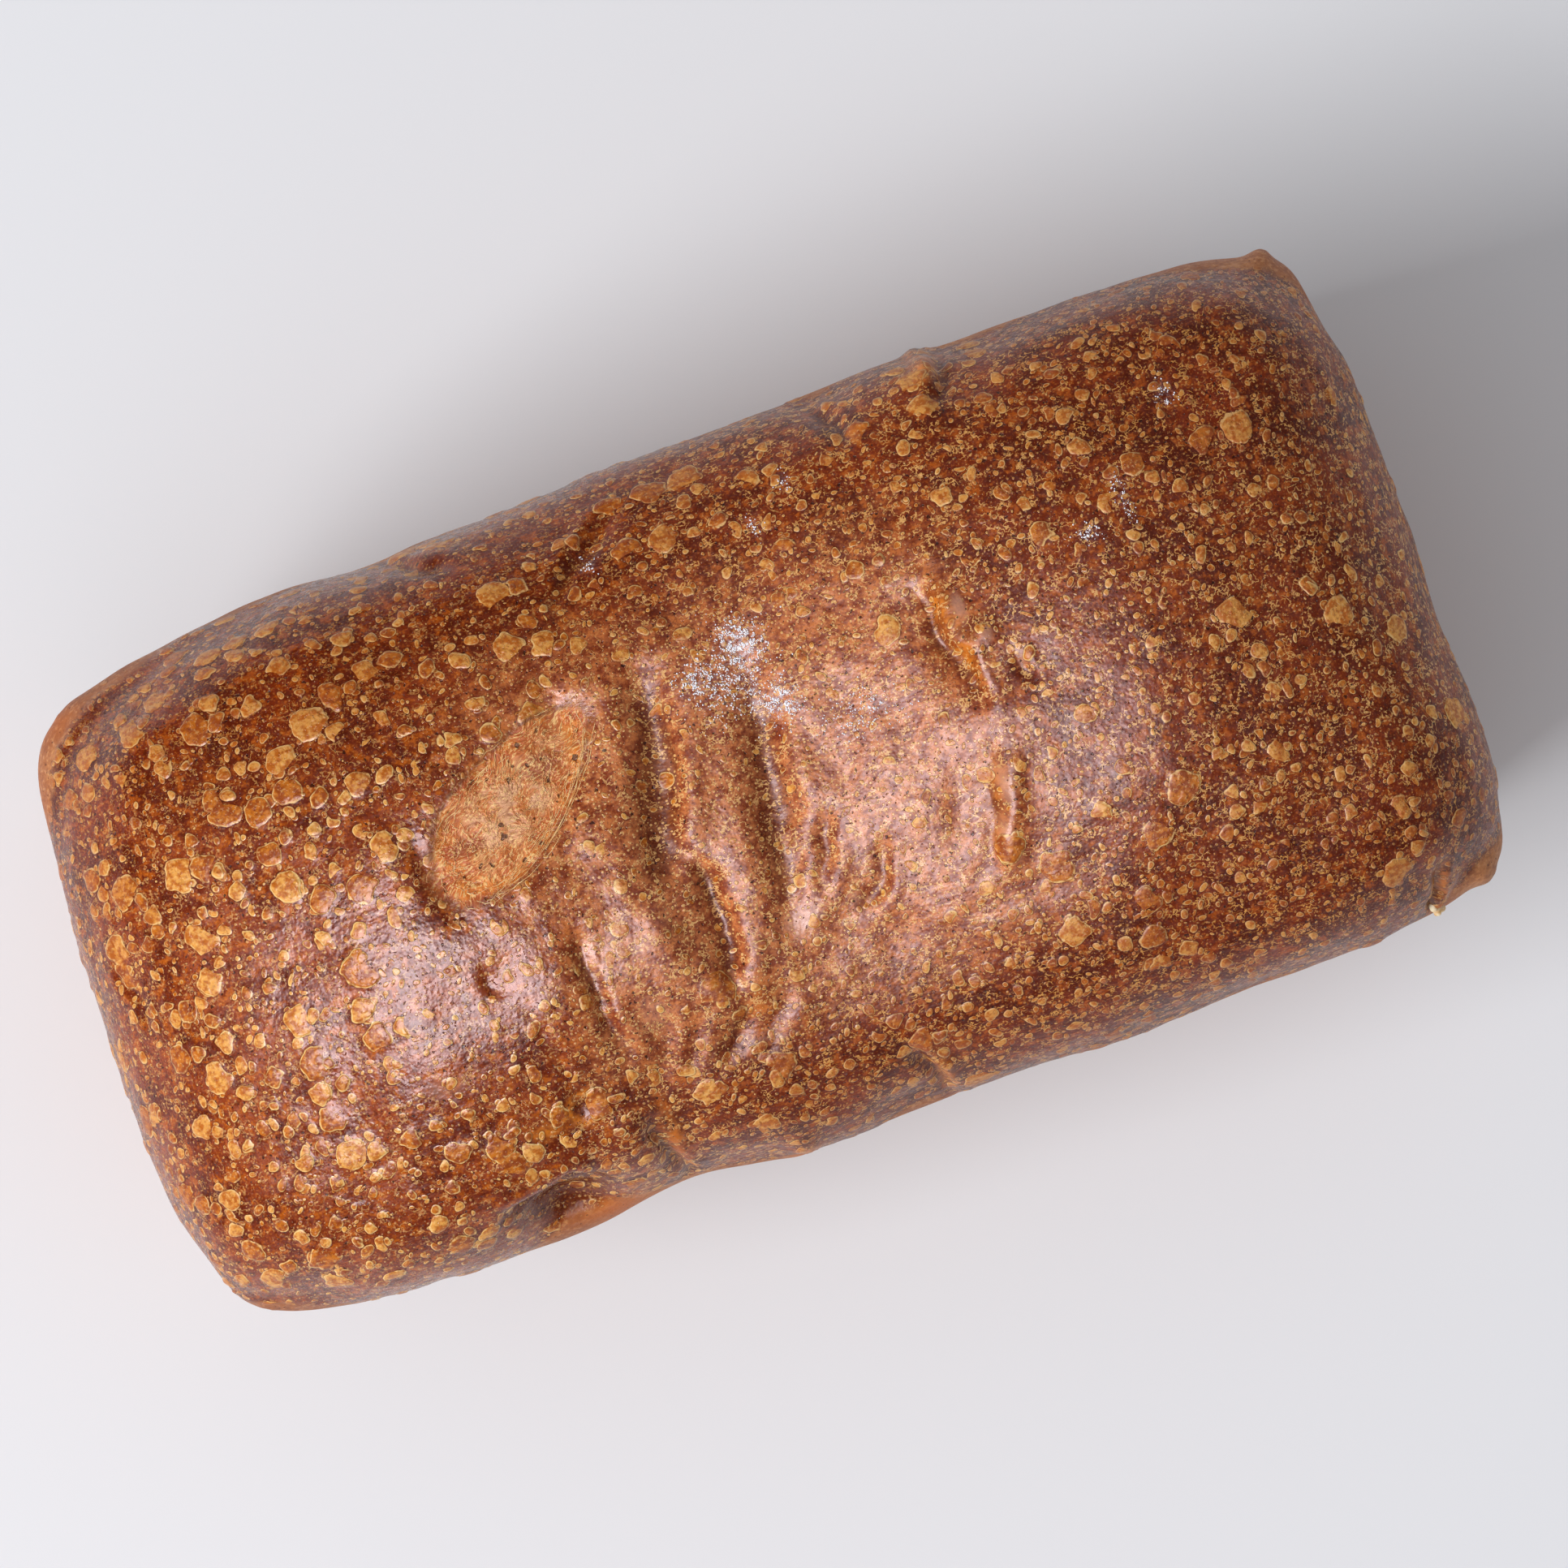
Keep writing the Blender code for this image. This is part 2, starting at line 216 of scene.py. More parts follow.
# The threads of crumb: the seed of their draw, how many in all, how many of them are long, the points on
# each, their radius, and how high they lie over the crust
STRAND_SEED = 5
STRAND_COUNT = 150
LONG_STRANDS = 14
STRAND_STEPS = 9
STRAND_RADIUS = 0.055
STRAND_LIFT = 0.04

# The scraps of crumb in the notch: place x, place y, place z, size
NOTCH_CRUMBS = (
    (92.9, -54.4, 71.0, 0.9),
    (92.6, -53.2, 72.0, 0.8),
    (93.8, -53.6, 70.0, 0.7),
    (93.0, -55.3, 69.0, 0.6),
)

# Where flour fell: centre x, centre y, reach x, reach y, share of the densest
FLOUR = (
    (4.8, 22.5, 2.6, 2.8, 1.0),
    (-3.6, 19.8, 2.0, 1.6, 0.55),
    (7.6, 11.6, 2.2, 2.2, 0.9),
    (1.0, 17.0, 5.0, 4.0, 0.30),
    (19.5, 5.8, 4.6, 2.6, 0.22),
    (61.0, 19.8, 1.6, 1.4, 0.28),
    (67.9, 23.4, 0.8, 2.8, 0.35),
    (79.6, 36.3, 1.2, 1.8, 0.30),
    (-12.9, 42.0, 1.2, 1.2, 0.25),
    (13.1, 39.0, 1.0, 1.6, 0.25),
    (19.8, 44.0, 1.0, 1.0, 0.20),
)

# The flour's draw: its seed, the grains tried on each square millimetre of reach, and their radii
FLOUR_SEED = 11
FLOUR_DENSITY = 200
GRAIN_RADII = (0.05, 0.16)

# Smooth glazed places, where the wash pooled: smoother skin with a painted lilac sheen, the light's
# reflection: centre x, centre y, reach x, reach y, share
GLAZED_AND_SHEEN = (
    (38.4, 16.4, 1.1, 2.4, 1.0),
    (41.0, 10.8, 1.3, 1.8, 0.9),
    (45.0, 5.4, 1.0, 1.7, 0.8),
    (35.6, -12.0, 1.5, 4.0, 0.8),
    (33.2, -20.0, 1.6, 4.5, 0.9),
    (-1.0, -21.0, 3.6, 2.4, 0.8),
    (8.0, -20.5, 2.0, 2.0, 0.5),
    (-27.0, -26.0, 3.5, 4.5, 0.5),
    (-11.9, 8.0, 0.9, 6.0, 0.45),
    (-20.5, -12.0, 3.0, 7.0, 0.35),
    (5.6, 1.0, 1.2, 6.0, 0.35),
    (-66.0, 2.0, 3.0, 5.0, 0.45),
    (-51.0, -7.0, 4.0, 5.0, 0.30),
    (-61.0, -26.0, 4.5, 2.4, 0.60),
    (-33.0, -16.0, 4.0, 8.0, 0.35),
)

# Golden raw edges where the skin cracked: centre x, centre y, reach x, reach y, share
GOLDEN = (
    (35.6, 17.0, 1.4, 4.5, 0.95),
    (37.4, 9.0, 1.3, 4.0, 0.85),
    (34.6, -10.0, 1.3, 6.0, 0.60),
    (32.6, -19.0, 1.4, 5.0, 0.60),
    (-11.0, -30.0, 1.2, 5.0, 0.50),
    (-31.2, -46.0, 1.4, 4.0, 0.60),
    (11.8, -50.5, 1.3, 3.0, 0.60),
    (46.0, 53.5, 2.4, 2.4, 0.90),
    (-43.0, -53.5, 7.0, 1.8, 0.90),
    (-12.4, -56.0, 3.0, 1.4, 0.90),
    (-49.0, -37.8, 2.6, 1.2, 0.90),
    (95.0, -50.5, 2.0, 3.0, 0.70),
    (-101.0, 49.0, 4.0, 3.0, 0.40),
)

# The blister that burst: its centre, and the radius of its torn ring
BURST_CENTRE = (-42.5, -36.3)
BURST_RADIUS = 2.3

# Points that stand out of the rim where the dough caught on the tin: centre x, centre y, reach x,
# reach y, height
NUBS = (
    (102.8, 52.4, 1.9, 1.9, 1.5),
    (102.0, -51.8, 2.2, 1.8, 1.1),
    (46.0, 55.6, 1.8, 1.6, 1.0),
    (-98.0, 50.5, 3.0, 2.0, 0.5),
)

# Blisters and the like: the size of the cells that they lie in, the smallest radius and the largest; and
# how high the coarser ones rise
LARGE_BLISTERS = (5.6, 0.8, 3.0)
LARGE_RISE = 0.24
MEDIUM_BLISTERS = (2.9, 0.4, 1.25)
MEDIUM_RISE = 0.14
SMALL_BLISTERS = (1.6, 0.16, 0.66)
SPECKS = (0.82, 0.08, 0.27)
SIDE_BUBBLES = (3.4, 0.25, 1.1)
SIDE_PORES = (1.5, 0.06, 0.24)

# Where blisters are thicker or thinner on the ground: centre x, centre y, reach x, reach y, and the change
# in their share
LARGE_ZONES = (
    (-92, 0, 34, 60, 0.62),
    (-52, 42, 34, 22, 0.50),
    (-62, -40, 26, 16, 0.30),
    (-55, -8, 18, 16, -0.22),
    (40, 34, 40, 18, 0.08),
    (65, -40, 50, 16, 0.06),
    (80, 10, 34, 50, -0.08),
    (0, -2, 34, 22, -0.30),
    (-50, -50, 8, 3.5, -0.70),
)
MEDIUM_ZONES = (
    (-50, -50, 8, 3.5, -0.45),
    (0, 0, 38, 25, -0.46),
    (-48, -8, 16, 18, -0.12),
    (20, -40, 60, 14, 0.24),
    (72, -4, 30, 24, -0.14),
    (-80, 0, 30, 60, 0.14),
)

# The order of the crust's materials: the dome's skin, the dome fading into the side, the dome fading into
# the patch, and the plain side
DOME_SKIN, RIM_SKIN, PATCH_SKIN, SIDE_SKIN = range(4)

# Tones of the dome's skin
PIN_HOLE = tone(48, 16, 6)
DARK_BLOTCH = tone(76, 22, 5)
DARK_GRAIN = tone(84, 30, 10)
LIGHT_GRAIN = tone(216, 134, 54)
# Painted shade in the folds' grooves and the burst blister's hollow
CREASE_SHADE = tone(98, 38, 14)
RAW_GOLD = tone(214, 122, 30)
# Painted sheen: the lilac of the light's reflection on the glazed places
PAINTED_LILAC_SHEEN = tone(204, 148, 122)
FLOUR_DUST = tone(214, 206, 216)

# Tones of the blisters
# Painted shadow: the dark ring round each blister
BLISTER_SHADOW_RING = tone(84, 28, 8)
BLISTER_SHADE = tone(138, 64, 16)
# Painted glints: pale flecks over the blisters
PAINTED_BLISTER_GLINT = tone(250, 206, 134)
# Painted highlight: the pale rim just inside each blister's edge
BLISTER_RIM_HIGHLIGHT = tone(248, 206, 134)
# Darker blister tone where the skin is browned, and as painted shade at the front
BLISTER_BROWNED_AND_SHADED = tone(150, 68, 8)

# Tones of the torn patch
PATCH_RIM = tone(112, 48, 10)
PATCH_BROWN = tone(164, 74, 14)
PATCH_SHADE = tone(148, 70, 16)
FIBRE_LIGHT = tone(250, 202, 128)
FIBRE_SHADE = tone(148, 72, 20)
PATCH_HOLE = tone(88, 38, 10)

# Tones of the tin's sides
SIDE_SCORCH = tone(126, 62, 30)
SIDE_SHADE = tone(128, 64, 32)
SIDE_LIGHT = tone(218, 160, 108)
SIDE_RAW = tone(206, 104, 24)
BUBBLE = tone(212, 150, 94)
PORE = tone(92, 44, 20)

# The darker and the lighter tone of the loose pieces
FLOUR_TONES = (tone(232, 230, 238), tone(250, 249, 252))
STRAND_TONES = (tone(222, 154, 84), tone(250, 214, 150))
CRUMB_TONES = (tone(226, 178, 112), tone(250, 232, 192))

# The lights: place and size in metres, power in watts, and colour
WINDOW = ((-2.1, -0.25, 1.95), 1.5, 75.0, (0.98, 0.985, 1.0))
SKY_SHEEN = ((-0.19, -0.14, 0.66), 0.35, 7.2, (1.0, 0.89, 0.93))
ROOM_COLOUR = (0.96, 0.97, 1.0, 1.0)
ROOM_STRENGTH = 0.46

# The floor's tone and half its width in metres
FLOOR_TONE = tone(226, 227, 230)
FLOOR_HALF = 6.0


def put_in_scene(name, data):
    """A new object that holds the data, linked to the scene."""
    thing = bpy.data.objects.new(name, data)
    bpy.context.scene.collection.objects.link(thing)
    return thing


def piece_from(bm, name):
    """Makes an object of the bmesh, which is then freed."""
    mesh = bpy.data.meshes.new(name)
    bm.to_mesh(mesh)
    bm.free()
    return put_in_scene(name, mesh)


def crust_form():
    """A finer copy of the solid's mesh, in metres: triangles joined to quads, then smoothed twice."""
    bm = bmesh.new()
    bm.from_mesh(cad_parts["loaf"].data)
    bmesh.ops.remove_doubles(bm, verts=bm.verts, dist=0.01 * MM)
    base = [face for face in bm.faces if all(v.co.z < 0.01 * MM for v in face.verts)]
    bmesh.ops.dissolve_faces(bm, faces=base)
    sides = [face for face in bm.faces if len(face.verts) == 3]
    bmesh.ops.join_triangles(bm, faces=sides, angle_face_threshold=math.pi, angle_shape_threshold=math.pi)
    crust = piece_from(bm, "brioche_crust")
    finer = crust.modifiers.new("finer", "SUBSURF")
    finer.levels = finer.render_levels = 2
    finer.quality = 2
    apply_modifiers(crust)
    return crust


def apply_modifiers(piece):
    """Replaces the piece's mesh by what its modifiers make of it."""
    graph = bpy.context.evaluated_depsgraph_get()
    made = bpy.data.meshes.new_from_object(piece.evaluated_get(graph))
    old = piece.data
    name = old.name
    piece.modifiers.clear()
    piece.data = made
    bpy.data.meshes.remove(old)
    made.name = name


def read_vectors(items, name):
    """The places or directions of all the items, one to a row."""
    values = np.zeros(len(items) * 3)
    items.foreach_get(name, values)
    return values.reshape(-1, 3)


def side_share(x, y, z, ripple):
    """1 on the tin's sides and on the bands at the dome's foot, 0 on the dome."""
    band = np.clip(humps(x, y, BANDS), 0.0, 1.0)
    corner = ease(np.abs(x), 0.7 * HALF_LENGTH, HALF_LENGTH)
    corner = corner * ease(np.abs(y), 0.6 * HALF_WIDTH, HALF_WIDTH)
    top_of_side = TIN_DEPTH - CORNER_DROP * corner - SIDE_DROP + BAND_RISE * band + SIDE_WANDER * ripple
    return 1.0 - ease(z, top_of_side - SIDE_BLUR, top_of_side + SIDE_BLUR)


def torn_share(x, y, ripple):
    """1 inside the bald patch and 0 outside, and the same for the middle of the patch."""
    dx = x - TORN_CENTRE[0]
    dy = y - TORN_CENTRE[1]
    along = (dx * math.cos(TORN_TURN) + dy * math.sin(TORN_TURN)) / TORN_HALF_LENGTH
    half_width = TORN_HALF_WIDTH * (1.0 - TORN_TAPER * along)
    across = (dy * math.cos(TORN_TURN) - dx * math.sin(TORN_TURN)) / half_width
    away = np.hypot(along, across) + 0.08 * ripple
    return 1.0 - ease(away, 0.84, 1.08), 1.0 - ease(away + 0.12 * ripple, 0.30, 0.90)


def fold_relief(x, y, points):
    """What the fine folds add to the surface at each place."""
    wander = 1.4 * lumps(points, 6.5, 3.7) + 0.6 * lumps(points, 2.2, 6.1)
    relief = np.zeros(np.shape(x))
    for line, depth, width, ridge, side, ridge_width in FOLDS:
        away, along = beside_line(x + wander, y, line)
        fade = np.sqrt(np.clip(np.sin(math.pi * np.clip(along, 0.02, 0.98)), 0.0, 1.0))
        relief += fade * (ridge * hump(away, side, ridge_width) - depth * hump(away, 0.0, width))
    return relief + humps(x, y, SPOTS)


def flat_places(x, y, z):
    """Where each place would lie if the skin were peeled off and pressed flat, so that blisters keep their
    size on the slopes: the drop below the crown is added to x near the ends and to y elsewhere."""
    dome = CROWN - TIN_DEPTH
    drop = np.clip((CROWN - z) / dome, 0.0, 1.0)
    slope = 0.5 * dome * drop**1.7 + np.maximum(TIN_DEPTH - z, 0.0)
    toward_end = (np.maximum(np.abs(x) - END_BEND, 0.0) / (HALF_LENGTH - END_BEND)) ** 2
    toward_side = (y / HALF_WIDTH) ** 2
    total = toward_end + toward_side + 0.02
    along = x + np.sign(x) * slope * toward_end / total
    across = y + np.sign(y) * slope * toward_side / total
    return np.stack([along, across, np.zeros_like(x)], axis=1)


def store_places(mesh, name, places):
    """Stores a place for each vertex under name, in metres."""
    attribute = mesh.attributes.new(name, "FLOAT_VECTOR", "POINT")
    attribute.data.foreach_set("vector", (places * MM).astype(np.float32).ravel())


def store_share(mesh, name, values):
    """Stores a number from 0 to 1 for each vertex under name."""
    attribute = mesh.attributes.new(name, "FLOAT", "POINT")
    attribute.data.foreach_set("value", np.clip(values, 0.0, 1.0).astype(np.float32))


def middle_share(x, y, side, ripple):
    """1 on the loaf's crumpled middle, fading to 0 round about."""
    lengthwise = ease(x, -48, -30) * (1.0 - ease(x, 26, 48))
    middle = lengthwise * (1.0 - ease(np.abs(y + 2), 22, 42)) * (1.0 - side)
    return np.clip(middle + 0.25 * ripple * (middle > 0.02), 0.0, 1.0)


def left_share(x, y, ripple):
    """1 on the loaf's left part, where the blisters are largest, and 0 on the right of a slanting line."""
    slanted = x + 0.35 * np.maximum(-y, 0.0) - 0.5 * np.maximum(y, 0.0)
    return 1.0 - ease(slanted + 8.0 * ripple, -42, -14)


def soft_relief(places, side, torn, middle):
    """The unevenness between the folds: a crumpled middle, a lumpy dome and a hollow patch, points at the
    rim, and faint waves on the sides."""
    x, y, z = places.T
    crumple = 0.30 * lumps(places, (4.6, 10.0, 9.0), 2.0) + 0.14 * lumps(places, (2.2, 4.5, 4.5), 8.0)
    broad = 0.45 * lumps(places, 15.0, 4.0) + 0.16 * lumps(places, 5.0, 6.0)
    hollow = -0.35 * torn + 0.35 * torn * lumps(places, 3.0, 9.0)
    nubs = humps(x, y, NUBS) * ease(z, 54, 64) * (1.0 - ease(z, 72, 82))
    waves = side * 0.12 * lumps(places, 7.0, 2.5)
    return nubs + middle * crumple * (1.0 - torn) + (1.0 - side) * broad + hollow + waves


def shape_crust(crust):
    """Adds the folds and lumps finer than the solid's, and stores what the materials are mixed from."""
    mesh = crust.data
    places = read_vectors(mesh.vertices, "co") / MM
    normals = read_vectors(mesh.vertices, "normal")
    x, y, z = places.T
    ripple = lumps(places, 6.0, 1.3) + 0.5 * lumps(places, 2.2, 5.1)
    side = side_share(x, y, z, ripple)
    torn, torn_middle = torn_share(x, y, ripple)
    middle = middle_share(x, y, side, ripple)
    left = left_share(x, y, ripple)
    dome = 1.0 - side
    folds = fold_relief(x, y, places) * dome * ease(z, 55, 72)
    relief = (folds + soft_relief(places, side, torn, middle)) * ease(z, 0.0, 2.5)
    store_places(mesh, "skin_flat", flat_places(x, y, z))
    places += normals * relief[:, None]
    x, y, z = places.T
    mesh.vertices.foreach_set("co", (places * MM).ravel())
    store_share(mesh, "side_skin", side)
    store_share(mesh, "torn_skin", torn)
    store_share(mesh, "torn_middle", torn_middle)
    store_share(mesh, "torn_brown", humps(x, y, TORN_BROWN) + 0.15 * ripple)
    store_share(mesh, "middle_skin", middle)
    store_share(mesh, "left_skin", left)
    store_share(mesh, "large_share", 0.16 + humps(x, y, LARGE_ZONES) + 0.10 * ripple)
    store_share(mesh, "medium_share", 0.46 + humps(x, y, MEDIUM_ZONES) + 0.10 * ripple)
    from_burst = np.hypot(x - BURST_CENTRE[0], y - BURST_CENTRE[1]) + 0.5 * ripple
    burst_ring = hump(from_burst, BURST_RADIUS, 0.5)
    burst_hollow = 1.0 - ease(from_burst, 0.4 * BURST_RADIUS, 0.9 * BURST_RADIUS)
    # Painted shade: darker the deeper the fold's groove, and in the burst blister's hollow
    store_share(mesh, "crease_shade", np.clip(-folds / 1.4, 0.0, 1.0) + 0.8 * burst_hollow)
    store_share(mesh, "floured", humps(x, y, FLOUR) * dome)
    # Smoother glazed places, which also carry a painted lilac sheen
    store_share(mesh, "glazed_and_sheen", humps(x, y, GLAZED_AND_SHEEN) * dome + 0.12 * ripple)
    store_share(mesh, "scorched", scorch(x, y, z, ripple))
    golden = humps(x, y, GOLDEN) * ease(z, 58, 68) * (1.0 + 0.3 * ripple)
    store_share(mesh, "golden", golden + burst_ring)
    # How dark the skin is made: browning, and painted shade at the front
    store_share(mesh, "browned_and_shaded", browning_and_shade(x, y, ripple))
    share_out_faces(mesh, side, torn)
    mesh.shade_smooth()
    mesh.update()


def scorch(x, y, z, ripple):
    """How dark the tin browned the sides: darker at the foot and along the upright corners."""
    along_ends = ease(np.abs(x), HALF_LENGTH - 16.0, HALF_LENGTH)
    along_sides = ease(np.abs(y), HALF_WIDTH - 14.0, HALF_WIDTH)
    return 0.8 * (1.0 - ease(z, 0, 12)) + 0.6 * along_ends * along_sides + 0.12 * ripple


def share_out_faces(mesh, side, torn):
    """Gives each face the number of the material for the skin that it carries."""
    corners = np.zeros(len(mesh.loops), dtype=np.int32)
    mesh.loops.foreach_get("vertex_index", corners)
    corners = corners.reshape(-1, 4)
    plain_side = side[corners].min(axis=1) > 0.999
    rim = side[corners].max(axis=1) > 0.0
    patch = torn[corners].max(axis=1) > 0.0
    kinds = np.where(rim, RIM_SKIN, DOME_SKIN)
    kinds = np.where(plain_side, SIDE_SKIN, np.where(patch, PATCH_SKIN, kinds))
    mesh.polygons.foreach_set("material_index", kinds.astype(np.int32))


def browning_and_shade(x, y, ripple):
    """How dark the dome's skin is made: darker towards the rear, the right end and the edges; partly the
    oven's browning, and partly painted shade, most of all at the front, where it damps the sheen light's
    spill.
    """
    rear = ease(y, 5, 45)
    right = ease(x, 40, 80) * (1.0 - 0.9 * ease(x, 86, 104))
    # Painted shade: the front is darkened to damp the sheen light's spill
    front = 0.75 * ease(-y, 22, 46) * ease(x, -50, 0)
    left_end = 0.4 * ease(-x, 85, 108)
    left_rear = 0.3 * ease(y, 20, 40) * ease(-x, 30, 60)
    burnt = 0.25 + 0.5 * rear + 0.35 * right + front + left_end + left_rear
    return np.clip(burnt + 0.12 * ripple, 0.0, 1.0)


class Nodes:
    """Adds nodes to a shader tree or a geometry tree. A value is a number or another node's socket."""

    def __init__(self, tree):
        self.tree = tree

    def outputs(self, kind, inputs, **settings):
        """Adds a node, joins or sets its inputs by name or number, and gives all its outputs."""
        node = self.tree.nodes.new(kind)
        for name, value in settings.items():
            setattr(node, name, value)
        for name, value in inputs.items():
            if isinstance(value, bpy.types.NodeSocket):
                self.tree.links.new(value, node.inputs[name])
            else:
                node.inputs[name].default_value = value
        return node.outputs

    def add(self, kind, inputs, output=0, **settings):
        """The same, for one output."""
        return self.outputs(kind, inputs, **settings)[output]

    def math(self, operation, first, second=0.0, third=0.0):
        return self.add("ShaderNodeMath", {0: first, 1: second, 2: third}, operation=operation)

    def times(self, first, second):
        return self.math("MULTIPLY", first, second)

    def plus(self, first, second):
        return self.math("ADD", first, second)

    def minus(self, first, second):
        return self.math("SUBTRACT", first, second)

    def most(self, first, second):
        return self.math("MAXIMUM", first, second)

    def span(self, value, low, high, to_low=0.0, to_high=1.0):
        """Takes low to high over to to_low to to_high along a smooth step."""
        inputs = {"Value": value, "From Min": low, "From Max": high, "To Min": to_low, "To Max": to_high}
        return self.add("ShaderNodeMapRange", inputs, interpolation_type="SMOOTHSTEP")

    def moved(self, place, offset, scale):
        """A pattern's place: shifted by offset, in metres, then multiplied by scale, both by axis."""
        shifted = self.add("ShaderNodeVectorMath", {0: place, 1: offset}, operation="ADD")
        return self.add("ShaderNodeVectorMath", {0: shifted, 1: scale}, operation="MULTIPLY")

    def noise(self, place, size, detail=2.0, roughness=0.5):
        """Soft noise about 0.5, in lumps of size millimetres, on a place in metres."""
        inputs = {"Vector": place, "Scale": 1.0 / (size * MM), "Detail": detail, "Roughness": roughness}
        return self.add("ShaderNodeTexNoise", inputs)

    def blisters(self, place, cell, smallest, largest, share, ragged=0.0):
        """Round spots scattered over the skin, at most one to a cell: how deep inside a spot each place lies
        in millimetres, less than 0 outside, and a number from 0 to 1 that differs from spot to spot. Ragged
        is added to the depth to roughen the outlines."""
        inputs = {"Vector": place, "Scale": 1.0 / (cell * MM)}
        found = self.outputs("ShaderNodeTexVoronoi", inputs, voronoi_dimensions="2D")
        in_shader = isinstance(self.tree, bpy.types.ShaderNodeTree)
        splitter = "ShaderNodeSeparateColor" if in_shader else "FunctionNodeSeparateColor"
        size_chance, share_chance, kind = list(self.outputs(splitter, {0: found["Color"]}))[:3]
        few_large = self.math("POWER", size_chance, 1.7)
        radius = self.math("MULTIPLY_ADD", few_large, largest - smallest, smallest)
        inside = self.math("MULTIPLY_ADD", found["Distance"], -cell, self.plus(radius, ragged))
        missing = self.math("GREATER_THAN", share_chance, share)
        return self.math("MULTIPLY_ADD", missing, -10.0, inside), kind

    def warped(self, place, size, reach):
        """The place, strayed by up to about reach millimetres, so that round spots get uneven outlines."""
        inputs = {"Vector": place, "Scale": 1.0 / (size * MM), "Detail": 0.0}
        stray = self.add("ShaderNodeTexNoise", inputs, output=1)
        centred = self.add("ShaderNodeVectorMath", {0: stray, 1: (0.5, 0.5, 0.5)}, operation="SUBTRACT")
        reached = {0: centred, "Scale": 2.0 * reach * MM}
        scaled = self.add("ShaderNodeVectorMath", reached, operation="SCALE")
        return self.add("ShaderNodeVectorMath", {0: place, 1: scaled}, operation="ADD")

    def stored(self, name, output="Fac"):
        """What is stored under name on the piece's mesh, for a shader: a number, or a place as "Vector"."""
        return self.add("ShaderNodeAttribute", {}, output, attribute_name=name)

    def held(self, name, kind="FLOAT"):
        """What is stored under name on the piece's mesh, for a geometry tree."""
        return self.add("GeometryNodeInputNamedAttribute", {"Name": name}, data_type=kind)

    def mix(self, share, first, second):
        """Mixes two colours: first at share 0 and second at share 1."""
        return self.add("ShaderNodeMix", {0: share, 6: first, 7: second}, output=2, data_type="RGBA")

    def mix_heights(self, share, first, second):
        """Mixes two heights in the same way."""
        return self.add("ShaderNodeMix", {0: share, 2: first, 3: second})


def geometry_nodes(name):
    """A new geometry tree: its nodes, and the sockets that the geometry arrives and leaves by."""
    tree = bpy.data.node_groups.new(name, "GeometryNodeTree")
    tree.interface.new_socket("Geometry", in_out="INPUT", socket_type="NodeSocketGeometry")
    tree.interface.new_socket("Geometry", in_out="OUTPUT", socket_type="NodeSocketGeometry")
    arriving = tree.nodes.new("NodeGroupInput").outputs[0]
    leaving = tree.nodes.new("NodeGroupOutput").inputs[0]
    return Nodes(tree), arriving, leaving


def run_nodes(piece, tree):
    """Runs a geometry tree on the piece and keeps what it makes."""
    step = piece.modifiers.new(tree.name, "NODES")
    step.node_group = tree
    apply_modifiers(piece)


def skin_layers(nodes, flat, large_share, medium_share):
    """The two coarser layers of blisters, used alike by the crust's shape and by its colour, and the
    strayed place that gives them their uneven outlines."""
    uneven = nodes.warped(flat, 2.8, 0.9)
    ragged = nodes.math("MULTIPLY_ADD", nodes.noise(flat, 1.1, 0.0), 0.5, -0.25)
    large = nodes.blisters(uneven, *LARGE_BLISTERS, large_share, ragged)
    shifted = nodes.moved(uneven, (0.013, 0.027, 0.0), (1.0, 0.85, 1.0))
    medium = nodes.blisters(shifted, *MEDIUM_BLISTERS, medium_share, nodes.times(ragged, 0.6))
    return large, medium, uneven


def raise_blisters(crust):
    """Lifts the coarser blisters out of the crust by the same pattern that colours them."""
    nodes, arriving, leaving = geometry_nodes("raise_blisters")
    flat = nodes.held("skin_flat", "FLOAT_VECTOR")
    large, medium, _ = skin_layers(nodes, flat, nodes.held("large_share"), nodes.held("medium_share"))
    large_rise = nodes.span(large[0], -0.2, 0.5, 0.0, LARGE_RISE * MM)
    medium_rise = nodes.span(medium[0], -0.2, 0.4, 0.0, MEDIUM_RISE * MM)
    bare = nodes.most(nodes.held("side_skin"), nodes.held("torn_skin"))
    rise = nodes.times(nodes.most(large_rise, medium_rise), nodes.span(bare, 0.1, 0.7, 1.0, 0.0))
    normal = nodes.add("GeometryNodeInputNormal", {})
    offset = nodes.add("ShaderNodeVectorMath", {0: normal, "Scale": rise}, operation="SCALE")
    lifted = nodes.add("GeometryNodeSetPosition", {"Geometry": arriving, "Offset": offset})
    nodes.tree.links.new(lifted, leaving)
    run_nodes(crust, nodes.tree)


def new_material(name):
    """A new material, what adds nodes to it, and its shader."""
    material = bpy.data.materials.new(name)
    material.use_nodes = True
    shader = material.node_tree.nodes["Principled BSDF"]
    return material, Nodes(material.node_tree), shader


